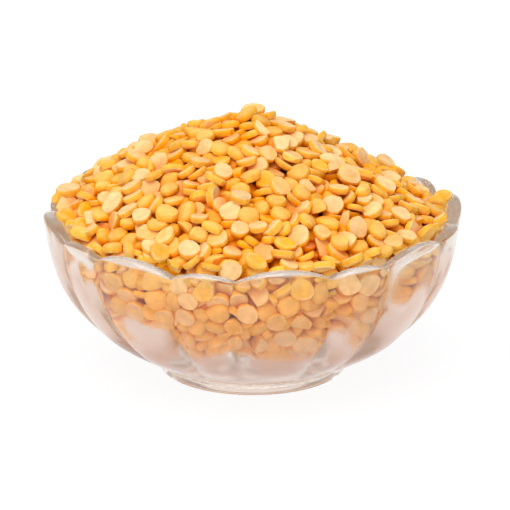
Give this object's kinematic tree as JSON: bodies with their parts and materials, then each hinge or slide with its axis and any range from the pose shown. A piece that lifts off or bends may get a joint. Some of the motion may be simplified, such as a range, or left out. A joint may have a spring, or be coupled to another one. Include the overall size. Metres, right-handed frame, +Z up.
{
  "type": "dish of dry lentils",
  "caption": "Clear pressed-glass bowl with a scalloped rim and a low foot, heaped above the rim with dry yellow split lentils.",
  "frame": {"origin": "centre of the foot's underside, on the surface that the dish stands on", "axes": "+Z up; the front, with the view of the original picture, faces -Y"},
  "size_m": [0.1262, 0.1262, 0.0817],
  "materials": {
    "glass": "clear pressed glass, polished, with a faint warm tint",
    "lentils": "dry, matte to faintly satin, pale flat faces and golden domed backs"
  },
  "bodies": {
    "root": {"dish": "glass", "lentils": "lentils"}
  },
  "joints": []
}
